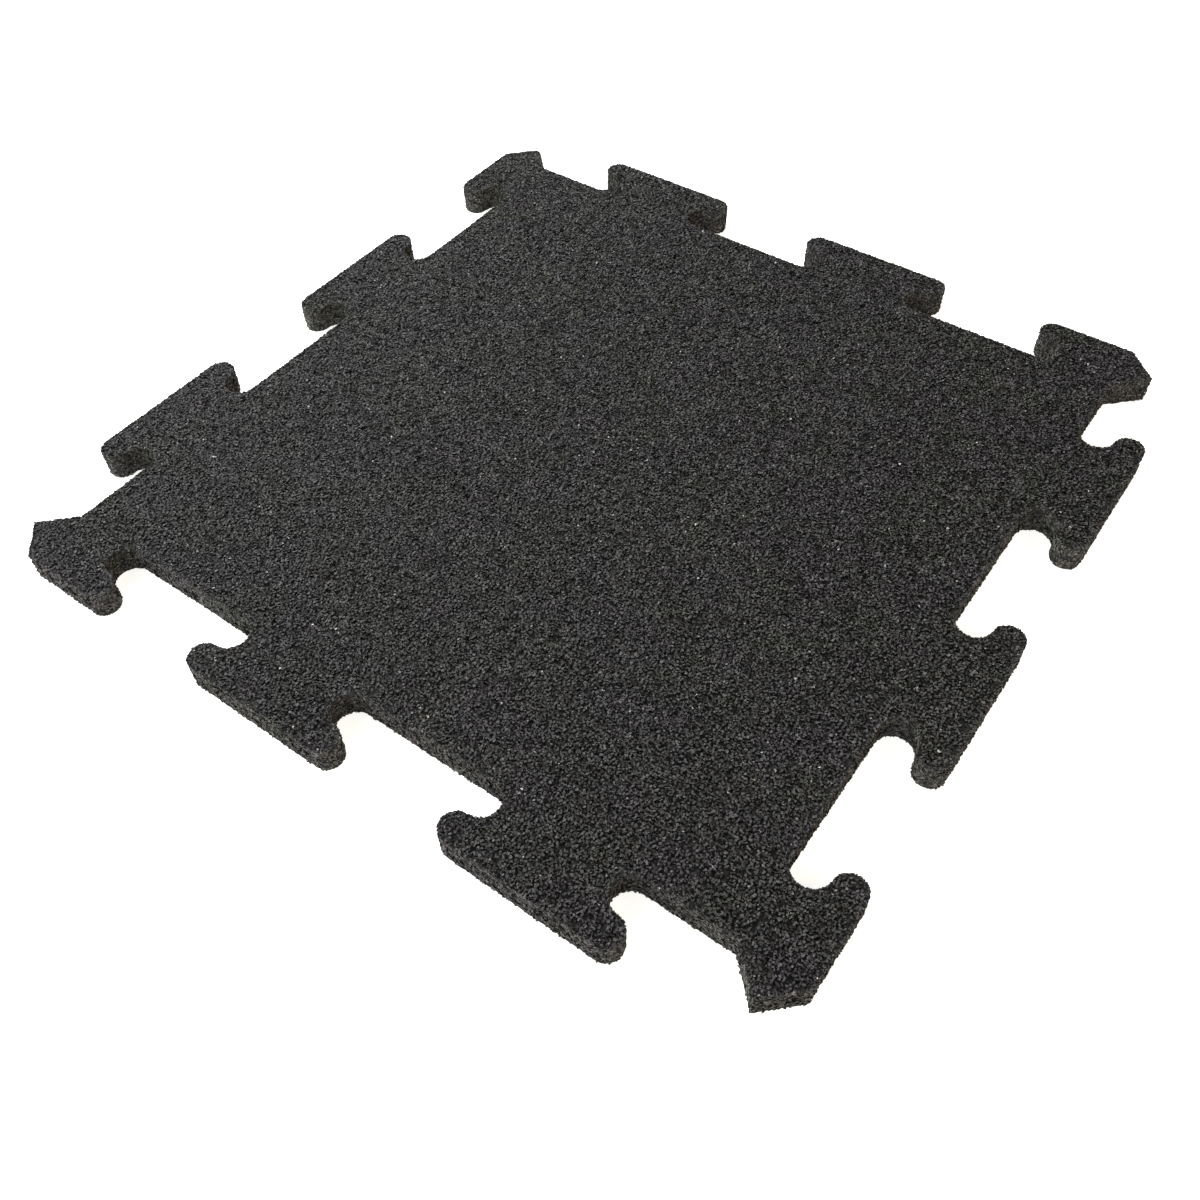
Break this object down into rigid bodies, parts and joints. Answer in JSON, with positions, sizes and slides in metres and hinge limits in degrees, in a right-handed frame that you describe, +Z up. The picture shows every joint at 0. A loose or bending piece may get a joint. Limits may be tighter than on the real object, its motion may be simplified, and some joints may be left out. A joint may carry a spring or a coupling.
{
  "type": "interlocking rubber floor tile",
  "caption": "Square gym floor tile of black bonded rubber crumb, with round-lobed tabs and slots on all sides that lock into the tiles beside it.",
  "frame": {"origin": "middle of the underside", "axes": "+Z up from the floor through the thickness, X and Y along the sides of the square that the tile repeats on"},
  "size_m": [0.5392, 0.5392, 0.019],
  "materials": {
    "crumb_rubber": "matte"
  },
  "bodies": {
    "root": {"floor_tile": "crumb_rubber"}
  },
  "joints": []
}
